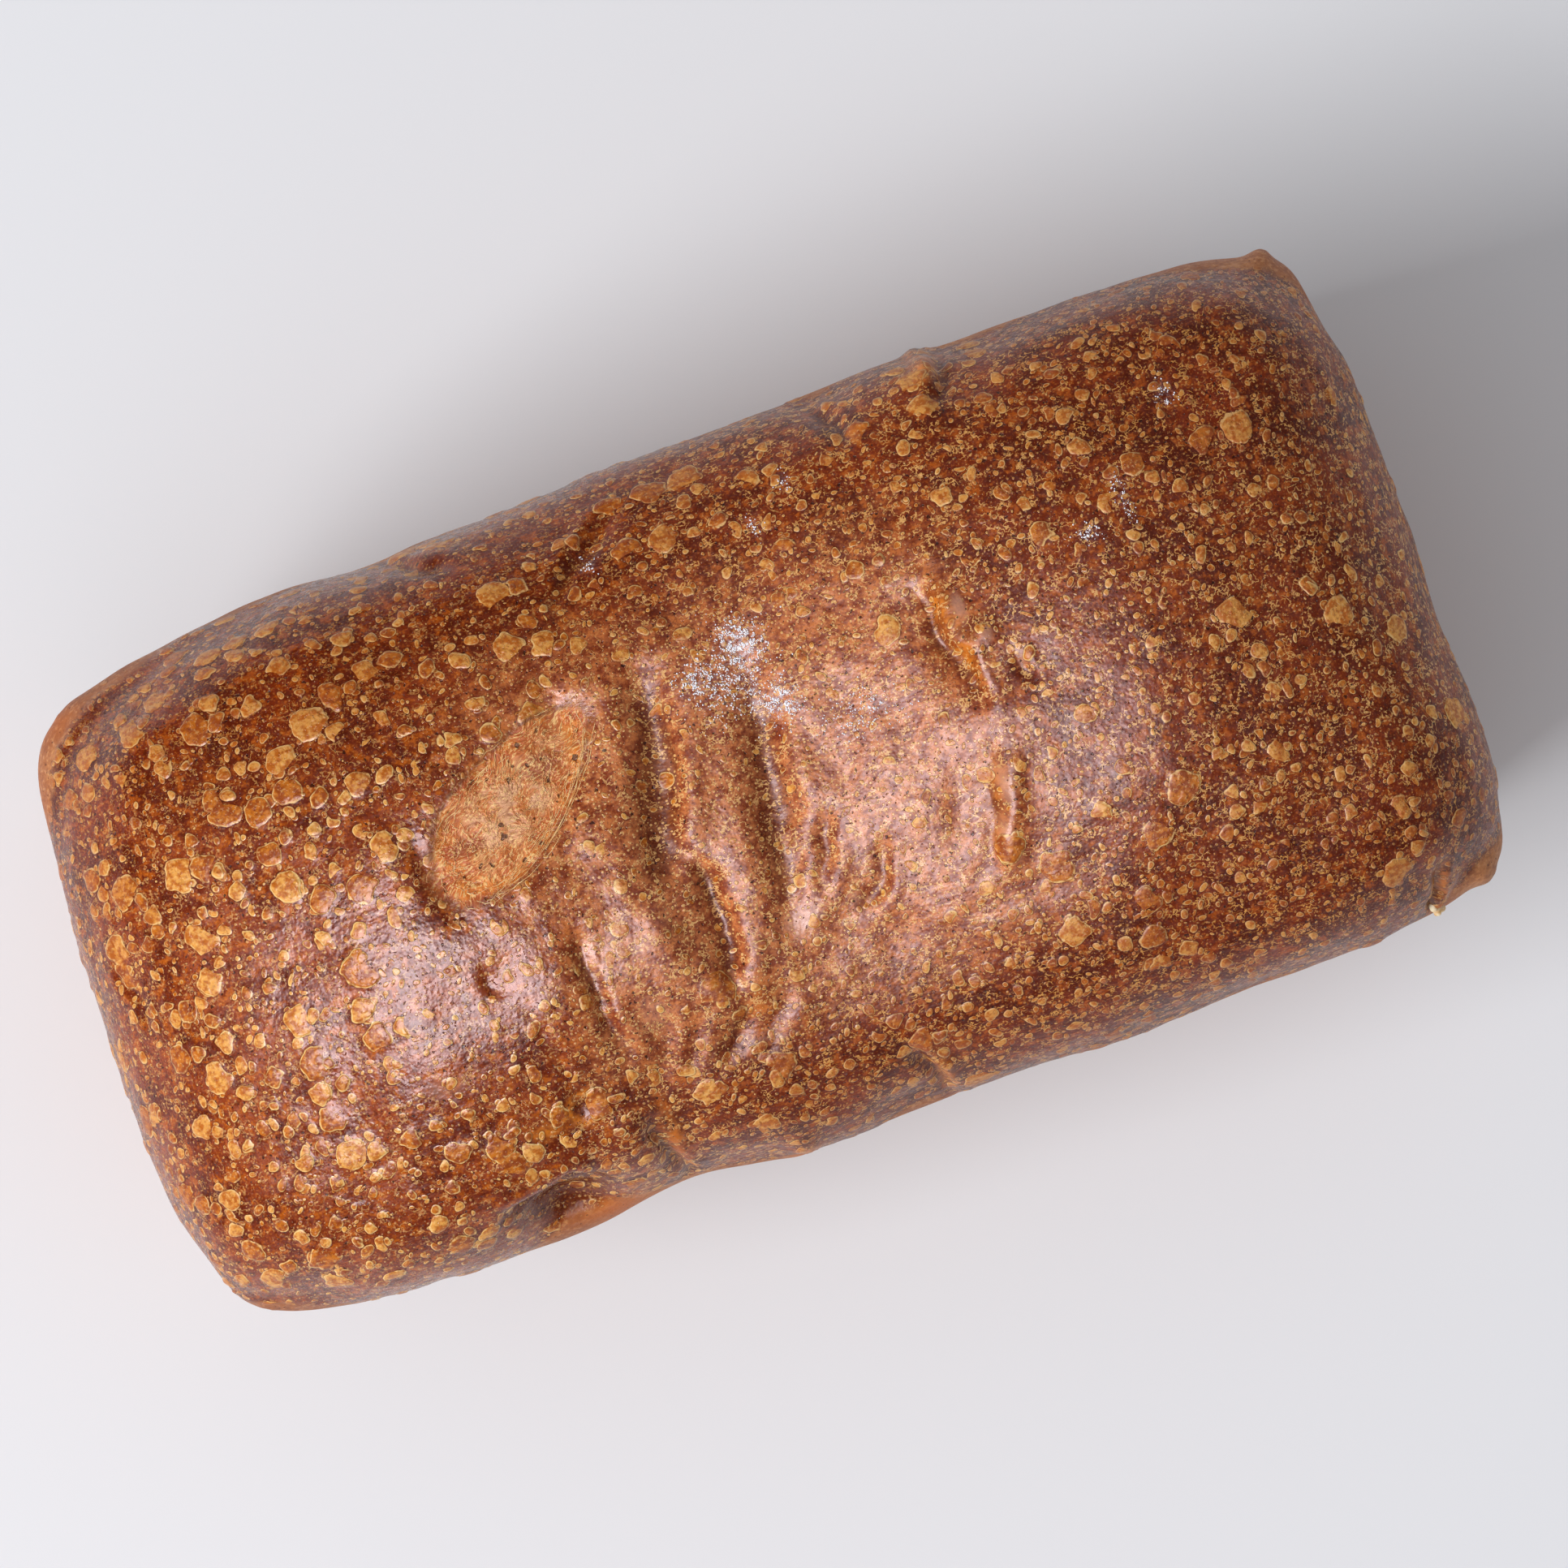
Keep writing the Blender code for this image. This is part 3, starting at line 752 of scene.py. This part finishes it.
def dome_material(name, with_side=False, with_patch=False):
    """The dome's blistered skin; with_side fades it into the plain side, with_patch into the torn patch."""
    material, nodes, shader = new_material(name)
    flat = nodes.stored("skin_flat", "Vector")
    left = nodes.stored("left_skin")
    middle = nodes.stored("middle_skin")
    browned_and_shaded = nodes.stored("browned_and_shaded")
    glazed_and_sheen = nodes.stored("glazed_and_sheen")
    large_share = nodes.stored("large_share")
    medium_share = nodes.stored("medium_share")
    large, medium, uneven = skin_layers(nodes, flat, large_share, medium_share)
    marks = fine_marks(nodes, flat, uneven, left, middle, glazed_and_sheen)
    colour = skin_colour(nodes, flat, left, middle, browned_and_shaded, glazed_and_sheen, marks)
    fine = nodes.noise(flat, 0.6, 1.0, 0.6)
    blotch = nodes.noise(flat, 1.5, 2.0, 0.6)
    for layer, rim_width in ((marks["small"], 0.10), (medium, 0.15), (large, 0.20)):
        colour = blister_colour(nodes, colour, layer, fine, blotch, browned_and_shaded, rim_width)
    height = dome_relief(nodes, flat, large, medium, marks)
    rough = nodes.span(nodes.noise(flat, 1.2, 1.0, 0.6), 0.36, 0.64, 0.22, 0.34)
    rough = nodes.plus(rough, nodes.span(nodes.most(large[0], medium[0]), -0.05, 0.2, 0.0, 0.08))
    rough = nodes.plus(rough, nodes.span(left, 0.0, 0.8, 0.10, 0.0))
    rough = nodes.minus(rough, nodes.times(glazed_and_sheen, 0.06))
    if with_patch:
        torn = nodes.stored("torn_skin")
        torn_look, torn_height = torn_skin(nodes, flat)
        rim = nodes.times(nodes.span(torn, 0.0, 0.35), nodes.span(torn, 0.45, 0.85, 1.0, 0.0))
        broken_rim = nodes.times(rim, nodes.span(blotch, 0.40, 0.60, 0.2, 0.8))
        colour = nodes.mix(torn, colour, torn_look)
        colour = nodes.mix(broken_rim, colour, PATCH_RIM)
        height = nodes.mix_heights(torn, height, torn_height)
        rough = nodes.plus(rough, nodes.times(torn, 0.25))
    if with_side:
        side = nodes.stored("side_skin")
        side_look, side_height = side_skin(nodes, flat)
        colour = nodes.mix(side, colour, side_look)
        height = nodes.mix_heights(side, height, side_height)
        rough = nodes.plus(rough, nodes.times(side, 0.2))
    clumps = nodes.span(nodes.noise(flat, 0.7, 2.0, 0.7), 0.42, 0.66)
    dust = nodes.times(nodes.stored("floured"), clumps)
    colour = nodes.mix(nodes.times(dust, 0.6), colour, FLOUR_DUST)
    finish_shader(nodes, shader, colour, rough, height)
    return material


def tin_material():
    """The plain skin that baked against the tin."""
    material, nodes, shader = new_material("tin_crust")
    colour, height = side_skin(nodes, nodes.stored("skin_flat", "Vector"))
    finish_shader(nodes, shader, colour, 0.56, height)
    return material


def finish_shader(nodes, shader, colour, rough, height):
    """Joins colour, roughness and relief in millimetres to the shader."""
    nodes.tree.links.new(colour, shader.inputs["Base Color"])
    if isinstance(rough, float):
        shader.inputs["Roughness"].default_value = rough
    else:
        nodes.tree.links.new(rough, shader.inputs["Roughness"])
    shader.inputs["Specular IOR Level"].default_value = 0.4
    bump = nodes.add("ShaderNodeBump", {"Height": height, "Strength": 1.0, "Distance": MM})
    nodes.tree.links.new(bump, shader.inputs["Normal"])


def fine_marks(nodes, flat, uneven, left, middle, glazed_and_sheen):
    """The marks too fine for the mesh: small blisters, thin curling lines, specks and pin holes."""
    plain = nodes.span(glazed_and_sheen, 0.2, 0.8, 1.0, 0.15)
    share = nodes.times(nodes.span(left, 0.0, 1.0, 0.58, 0.46), nodes.span(middle, 0.2, 1.0, 1.0, 0.60))
    small = nodes.blisters(uneven, *SMALL_BLISTERS, nodes.times(share, plain))
    hills = nodes.noise(flat, 1.3, 2.0, 0.55)
    line = nodes.span(nodes.math("ABSOLUTE", nodes.minus(hills, 0.5)), 0.010, 0.040, 1.0, 0.0)
    elsewhere = nodes.moved(flat, (0.05, 0.02, 0.0), (1.0, 1.0, 1.0))
    broken = nodes.span(nodes.noise(elsewhere, 2.6, 2.0, 0.6), 0.48, 0.58)
    curl_share = nodes.times(nodes.span(left, 0.0, 1.0, 1.0, 0.5), plain)
    curls = nodes.times(nodes.times(line, broken), curl_share)
    speck_share = nodes.times(plain, nodes.span(middle, 0.0, 1.0, 0.5, 0.8))
    specks = nodes.blisters(elsewhere, *SPECKS, speck_share)
    pits = nodes.span(nodes.noise(flat, 0.8, 1.0), 0.27, 0.34, 1.0, 0.0)
    return {"small": small, "curls": curls, "specks": nodes.span(specks[0], -0.02, 0.08), "pits": pits}


def dome_relief(nodes, flat, large, medium, marks):
    """The dome's relief in millimetres that is too fine for the mesh."""
    height = nodes.times(nodes.noise(flat, 0.9, 1.0), 0.10)
    for layer, reach, rise in ((large, 0.5, 0.10), (medium, 0.35, 0.08), (marks["small"], 0.2, 0.05)):
        height = nodes.plus(height, nodes.span(layer[0], -0.1, reach, 0.0, rise))
    height = nodes.plus(height, nodes.times(marks["specks"], 0.04))
    return nodes.minus(height, nodes.times(marks["pits"], 0.07))


def skin_colour(nodes, flat, left, middle, browned_and_shaded, glazed_and_sheen, marks):
    """The egg-washed skin between the blisters: mottled red-brown with cream flecks and dark pin holes."""
    broad = nodes.span(nodes.noise(flat, 10.0, 2.0), 0.35, 0.65)
    blotch = nodes.noise(flat, 2.3, 2.0, 0.65)
    grain = nodes.noise(flat, 0.42, 1.0, 0.7)
    pale_skin = nodes.mix(broad, tone(112, 36, 8), tone(144, 56, 12))
    left_skin = nodes.mix(broad, tone(118, 40, 16), tone(160, 72, 34))
    pale_skin = nodes.mix(nodes.times(left, 0.7), pale_skin, left_skin)
    dark_skin = nodes.mix(broad, tone(88, 24, 2), tone(120, 38, 2))
    # Darker where browned, and painted shade at the front
    skin = nodes.mix(browned_and_shaded, pale_skin, dark_skin)
    amber = nodes.mix(browned_and_shaded, tone(194, 98, 18), tone(168, 76, 8))
    skin = nodes.mix(nodes.span(blotch, 0.50, 0.66, 0.0, 0.8), skin, amber)
    skin = nodes.mix(nodes.span(blotch, 0.32, 0.46, 0.65, 0.0), skin, DARK_BLOTCH)
    rosy = nodes.mix(nodes.span(blotch, 0.38, 0.62), tone(146, 64, 32), tone(212, 126, 72))
    skin = nodes.mix(nodes.times(middle, 0.85), skin, rosy)
    # Painted shade in the folds' grooves and the burst hollow
    skin = nodes.mix(nodes.span(nodes.stored("crease_shade"), 0.1, 0.8, 0.0, 0.7), skin, CREASE_SHADE)
    skin = nodes.mix(nodes.span(grain, 0.36, 0.50, 0.4, 0.0), skin, DARK_GRAIN)
    skin = nodes.mix(nodes.span(grain, 0.56, 0.68, 0.0, 0.25), skin, LIGHT_GRAIN)
    raw = nodes.times(nodes.stored("golden"), nodes.span(blotch, 0.40, 0.55, 0.4, 1.0))
    skin = nodes.mix(raw, skin, RAW_GOLD)
    # Painted sheen: the glazed places turn lilac, as the light's reflection
    skin = nodes.mix(nodes.span(glazed_and_sheen, 0.15, 0.9, 0.0, 0.6), skin, PAINTED_LILAC_SHEEN)
    fleck = nodes.mix(browned_and_shaded, tone(236, 184, 118), tone(208, 146, 72))
    specks = nodes.times(marks["specks"], nodes.span(middle, 0.0, 1.0, 0.5, 0.9))
    skin = nodes.mix(specks, skin, fleck)
    skin = nodes.mix(nodes.times(marks["curls"], 0.95), skin, fleck)
    return nodes.mix(nodes.times(marks["pits"], 0.85), skin, PIN_HOLE)


def blister_colour(nodes, under, layer, fine, blotch, browned_and_shaded, rim_width):
    """Paints one layer of blisters over the skin: a painted shadow as a dark ring round it, a painted
    highlight as a pale broken rim, painted glints, and a mottled inside.
    """
    inside, kind = layer
    # Painted shadow: a dark ring just outside the blister's edge
    outline = nodes.times(nodes.span(inside, -0.24, -0.02), 0.45)
    skin = nodes.mix(outline, under, BLISTER_SHADOW_RING)
    mottle = nodes.span(blotch, 0.40, 0.60)
    gold = nodes.mix(mottle, tone(194, 106, 22), tone(238, 170, 80))
    amber = nodes.mix(mottle, tone(150, 66, 10), tone(206, 118, 26))
    spot = nodes.mix(nodes.span(kind, 0.45, 0.60), gold, amber)
    spot = nodes.mix(nodes.span(fine, 0.34, 0.46, 0.4, 0.0), spot, BLISTER_SHADE)
    # Painted glints: pale flecks over the blister
    spot = nodes.mix(nodes.span(fine, 0.56, 0.68, 0.0, 0.4), spot, PAINTED_BLISTER_GLINT)
    # Painted highlight: a pale broken rim just inside the blister's edge
    rim = nodes.span(inside, 0.7 * rim_width, 1.6 * rim_width, 1.0, 0.0)
    rim = nodes.times(rim, nodes.span(blotch, 0.40, 0.56, 0.25, 0.9))
    spot = nodes.mix(rim, spot, BLISTER_RIM_HIGHLIGHT)
    # Darker blisters where browned, and painted shade at the front
    spot = nodes.mix(nodes.times(browned_and_shaded, 0.45), spot, BLISTER_BROWNED_AND_SHADED)
    return nodes.mix(nodes.span(inside, -0.02, 0.05, 0.0, 0.97), skin, spot)


def torn_skin(nodes, flat):
    """The bald patch: its colour, an amber crumb in fine fibres and paler in the middle, and its relief."""
    unturned = {"Vector": flat, "Angle": -TORN_TURN}
    turned = nodes.add("ShaderNodeVectorRotate", unturned, rotation_type="Z_AXIS")
    bent = nodes.warped(turned, 5.0, 2.6)
    coarse = nodes.noise(nodes.moved(bent, (0.0, 0.0, 0.0), (0.6, 1.0, 1.0)), 1.1, 2.0, 0.7)
    strand = nodes.noise(nodes.moved(bent, (0.03, 0.01, 0.0), (0.4, 1.0, 1.0)), 0.34, 2.0, 0.7)
    cloud = nodes.span(nodes.noise(flat, 3.0, 2.0, 0.6), 0.40, 0.60)
    edge = nodes.mix(cloud, tone(192, 86, 8), tone(224, 124, 26))
    heart = nodes.mix(cloud, tone(212, 120, 50), tone(230, 168, 122))
    amber = nodes.mix(nodes.stored("torn_middle"), edge, heart)
    amber = nodes.mix(nodes.span(nodes.stored("torn_brown"), 0.25, 0.8, 0.0, 0.8), amber, PATCH_BROWN)
    amber = nodes.mix(nodes.span(coarse, 0.34, 0.48, 0.6, 0.0), amber, PATCH_SHADE)
    amber = nodes.mix(nodes.span(strand, 0.52, 0.62, 0.0, 0.8), amber, FIBRE_LIGHT)
    amber = nodes.mix(nodes.span(strand, 0.34, 0.44, 0.5, 0.0), amber, FIBRE_SHADE)
    holes = nodes.span(nodes.noise(flat, 1.6, 1.0), 0.27, 0.33, 0.85, 0.0)
    amber = nodes.mix(holes, amber, PATCH_HOLE)
    height = nodes.plus(nodes.times(coarse, 0.4), nodes.times(strand, 0.16))
    return amber, nodes.minus(height, nodes.times(holes, 0.3))


def side_skin(nodes, flat):
    """The plain side: its colour, a dull amber with soft clouds, browner edges, small bubbles and pores,
    and its relief."""
    place = nodes.tree.nodes.new("ShaderNodeTexCoord").outputs["Object"]
    cloud = nodes.noise(place, 16.0, 3.0, 0.6)
    grain = nodes.noise(place, 0.9, 2.0, 0.6)
    skin = nodes.mix(nodes.span(cloud, 0.36, 0.64), tone(166, 96, 50), tone(192, 124, 72))
    scorched = nodes.times(nodes.stored("scorched"), nodes.span(cloud, 0.3, 0.7, 1.0, 0.6))
    skin = nodes.mix(scorched, skin, SIDE_SCORCH)
    skin = nodes.mix(nodes.span(grain, 0.32, 0.50, 0.45, 0.0), skin, SIDE_SHADE)
    skin = nodes.mix(nodes.span(grain, 0.52, 0.68, 0.0, 0.45), skin, SIDE_LIGHT)
    skin = nodes.mix(nodes.times(nodes.stored("golden"), 0.85), skin, SIDE_RAW)
    bubbles, _ = nodes.blisters(nodes.warped(flat, 2.4, 0.6), *SIDE_BUBBLES, 0.34)
    skin = nodes.mix(nodes.span(bubbles, 0.0, 0.5, 0.0, 0.45), skin, BUBBLE)
    in_pore, _ = nodes.blisters(flat, *SIDE_PORES, 0.4)
    pores = nodes.span(in_pore, -0.02, 0.08)
    skin = nodes.mix(nodes.times(pores, 0.7), skin, PORE)
    height = nodes.plus(nodes.times(grain, 0.14), nodes.span(bubbles, -0.3, 0.6, 0.0, 0.12))
    return skin, nodes.minus(height, nodes.times(pores, 0.14))


def finish_piece(piece, *materials):
    """Gives the piece its materials, with each face's number kept, and its place in the part."""
    kinds = np.zeros(len(piece.data.polygons), dtype=np.int32)
    piece.data.polygons.foreach_get("material_index", kinds)
    piece.data.materials.clear()
    for material in materials:
        piece.data.materials.append(material)
    piece.data.polygons.foreach_set("material_index", kinds)
    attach(piece, "root")


def make_crust():
    """The whole loaf's skin, with its materials in the order of DOME_SKIN to SIDE_SKIN."""
    crust = crust_form()
    shape_crust(crust)
    raise_blisters(crust)
    dome_skin = dome_material("baked_crust")
    rim_skin = dome_material("rim_crust", with_side=True)
    patch_skin = dome_material("torn_crust", with_patch=True)
    finish_piece(crust, dome_skin, rim_skin, patch_skin, tin_material())
    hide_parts("loaf")
    return crust


def drop_onto(ground, x, y):
    """The crust's highest point at x and y, in metres, and the surface's direction there."""
    hit, normal, _, _ = ground.ray_cast(Vector((x, y, 2.0 * CROWN)) * MM, Vector((0.0, 0.0, -1.0)))
    return hit, normal


def plain_material(name, tones, size, rough):
    """Two tones, the darker first, mixed by soft noise in lumps of the size given."""
    material, nodes, shader = new_material(name)
    place = nodes.tree.nodes.new("ShaderNodeTexCoord").outputs["Object"]
    shade = nodes.mix(nodes.span(nodes.noise(place, size, 1.0), 0.35, 0.65), *tones)
    nodes.tree.links.new(shade, shader.inputs["Base Color"])
    shader.inputs["Roughness"].default_value = rough
    return material


def make_flour(ground):
    """Grains of flour lying on the dome, thick where it fell and thinning out round about."""
    draw = random.Random(FLOUR_SEED)
    bm = bmesh.new()
    size_layer = bm.verts.layers.float.new("grain_size")
    for cx, cy, rx, ry, share in FLOUR:
        for _ in range(int(FLOUR_DENSITY * share * rx * ry)):
            x = draw.gauss(cx, 0.75 * rx)
            y = draw.gauss(cy, 0.75 * ry)
            clump = noise.noise(Vector((x, y, 0.0)) / 0.9)
            if clump < draw.uniform(-0.2, 0.3):
                continue
            hit, normal = drop_onto(ground, x, y)
            radius = draw.uniform(*GRAIN_RADII)
            grain = bm.verts.new(hit + normal * 0.3 * radius * MM)
            grain[size_layer] = radius
    flour = piece_from(bm, "flour_grains")
    grow_grains(flour)
    finish_piece(flour, plain_material("flour", FLOUR_TONES, 0.4, 0.9))


def grow_grains(flour):
    """Sets a small ball on every point of the piece."""
    nodes, arriving, leaving = geometry_nodes("grow_grains")
    ball = nodes.add("GeometryNodeMeshIcoSphere", {"Radius": MM, "Subdivisions": 1})
    inputs = {"Points": arriving, "Instance": ball, "Scale": nodes.held("grain_size")}
    spread = nodes.add("GeometryNodeInstanceOnPoints", inputs)
    nodes.tree.links.new(nodes.add("GeometryNodeRealizeInstances", {"Geometry": spread}), leaving)
    run_nodes(flour, nodes.tree)


def make_strands(ground):
    """Fine pale threads of crumb: long ones round the torn patch's lower edge, short ones across it."""
    draw = random.Random(STRAND_SEED)
    curve = bpy.data.curves.new("torn_strands", "CURVE")
    curve.dimensions = "3D"
    curve.bevel_depth = STRAND_RADIUS * MM
    curve.bevel_resolution = 0
    for number in range(STRAND_COUNT):
        long = number < LONG_STRANDS
        start = draw.uniform(3.4, 5.2) if long else draw.uniform(0.0, 6.28)
        reach = draw.uniform(0.5, 1.3) if long else draw.uniform(0.12, 0.4)
        ring = draw.uniform(0.86, 1.02) if long else draw.uniform(0.15, 1.0)
        drift = draw.uniform(-0.12, 0.12)
        points = []
        for step in range(STRAND_STEPS):
            share = step / (STRAND_STEPS - 1)
            angle = start + reach * share
            waver = 0.05 * noise.noise(Vector((number * 3.1, 5.0 * share, 0.0)))
            away = ring + drift * share + waver
            along = away * TORN_HALF_LENGTH * math.cos(angle)
            half_width = TORN_HALF_WIDTH * (1.0 - TORN_TAPER * ring * math.cos(angle))
            across = away * half_width * math.sin(angle)
            x = TORN_CENTRE[0] + along * math.cos(TORN_TURN) - across * math.sin(TORN_TURN)
            y = TORN_CENTRE[1] + along * math.sin(TORN_TURN) + across * math.cos(TORN_TURN)
            hit, normal = drop_onto(ground, x, y)
            points.append(hit + normal * STRAND_LIFT * MM)
        thread = curve.splines.new("POLY")
        thread.points.add(STRAND_STEPS - 1)
        for point, spot in zip(thread.points, points):
            point.co = (*spot, 1.0)
            point.radius = draw.uniform(0.6, 1.2)
    drawn = put_in_scene("strand_lines", curve)
    graph = bpy.context.evaluated_depsgraph_get()
    mesh = bpy.data.meshes.new_from_object(drawn.evaluated_get(graph))
    bpy.data.objects.remove(drawn)
    mesh.name = "torn_strands"
    strands = put_in_scene("torn_strands", mesh)
    finish_piece(strands, plain_material("strand_crumb", STRAND_TONES, 1.5, 0.5))


def make_notch_crumb(ground):
    """The scrap of pale crumb that hangs in the notch at the front right rim."""
    bm = bmesh.new()
    for x, y, z, size in NOTCH_CRUMBS:
        hit, _, _, _ = ground.find_nearest(Vector((x, y, z)) * MM)
        place = Matrix.Translation(hit) @ Matrix.Diagonal((0.8, 1.3, 0.6, 1.0))
        bmesh.ops.create_icosphere(bm, subdivisions=3, radius=size * MM, matrix=place)
    for vert in bm.verts:
        vert.co += vert.co.normalized() * 0.3 * MM * noise.noise(vert.co / (0.7 * MM))
    for face in bm.faces:
        face.smooth = True
    crumb = piece_from(bm, "notch_crumb")
    finish_piece(crumb, plain_material("pale_crumb", CRUMB_TONES, 1.2, 0.6))


def make_floor():
    """A plain pale floor under the loaf."""
    bm = bmesh.new()
    bmesh.ops.create_grid(bm, x_segments=1, y_segments=1, size=FLOOR_HALF)
    floor = piece_from(bm, "floor")
    material, _, shader = new_material("pale_floor")
    shader.inputs["Base Color"].default_value = FLOOR_TONE
    shader.inputs["Roughness"].default_value = 0.7
    floor.data.materials.append(material)


def make_area_light(name, place, size, power, colour):
    """A square soft light that faces the loaf; its place and size are in metres, its power in watts."""
    data = bpy.data.lights.new(name, "AREA")
    data.shape = "SQUARE"
    data.size = size
    data.energy = power
    data.color = colour
    light = put_in_scene(name, data)
    light.location = place
    light.rotation_euler = (-Vector(place)).to_track_quat("-Z", "Y").to_euler()
    light.visible_camera = False
    return light


def make_lights():
    """Soft daylight from the loaf's left end, the sky's sheen from above the front, and a pale room."""
    window = make_area_light("window", *WINDOW)
    window.visible_glossy = False
    sheen = make_area_light("sky_sheen", *SKY_SHEEN)
    sheen.visible_diffuse = False
    world = bpy.data.worlds.new("room")
    bpy.context.scene.world = world
    world.use_nodes = True
    world.node_tree.nodes["Background"].inputs["Color"].default_value = ROOM_COLOUR
    world.node_tree.nodes["Background"].inputs["Strength"].default_value = ROOM_STRENGTH
    world.cycles_visibility.glossy = False


def make_camera():
    """Straight above the loaf, turned so that the loaf lies in the frame as photographed."""
    scale = FRAME_SPAN / FRAME_PIXELS
    right = (0.5 * FRAME_PIXELS - LOAF_CENTRE_PIXEL[0]) * scale
    up = (LOAF_CENTRE_PIXEL[1] - 0.5 * FRAME_PIXELS) * scale
    data = bpy.data.cameras.new("camera")
    data.sensor_width = SENSOR_WIDTH
    data.lens = SENSOR_WIDTH * CAMERA_HEIGHT / FRAME_SPAN
    data.clip_end = 50.0
    camera = put_in_scene("camera", data)
    offset = Matrix.Rotation(-LOAF_TURN, 3, "Z") @ Vector((right, up, 0.0))
    camera.location = (offset + Vector((0.0, 0.0, TIN_DEPTH + CAMERA_HEIGHT))) * MM
    camera.rotation_euler = (0.0, 0.0, -LOAF_TURN)
    bpy.context.scene.camera = camera


def main():
    """Makes the loaf and its scene."""
    crust = make_crust()
    ground = BVHTree.FromObject(crust, bpy.context.evaluated_depsgraph_get())
    make_flour(ground)
    make_strands(ground)
    make_notch_crumb(ground)
    make_floor()
    make_lights()
    make_camera()
    bpy.context.scene.view_settings.view_transform = "Standard"


main()
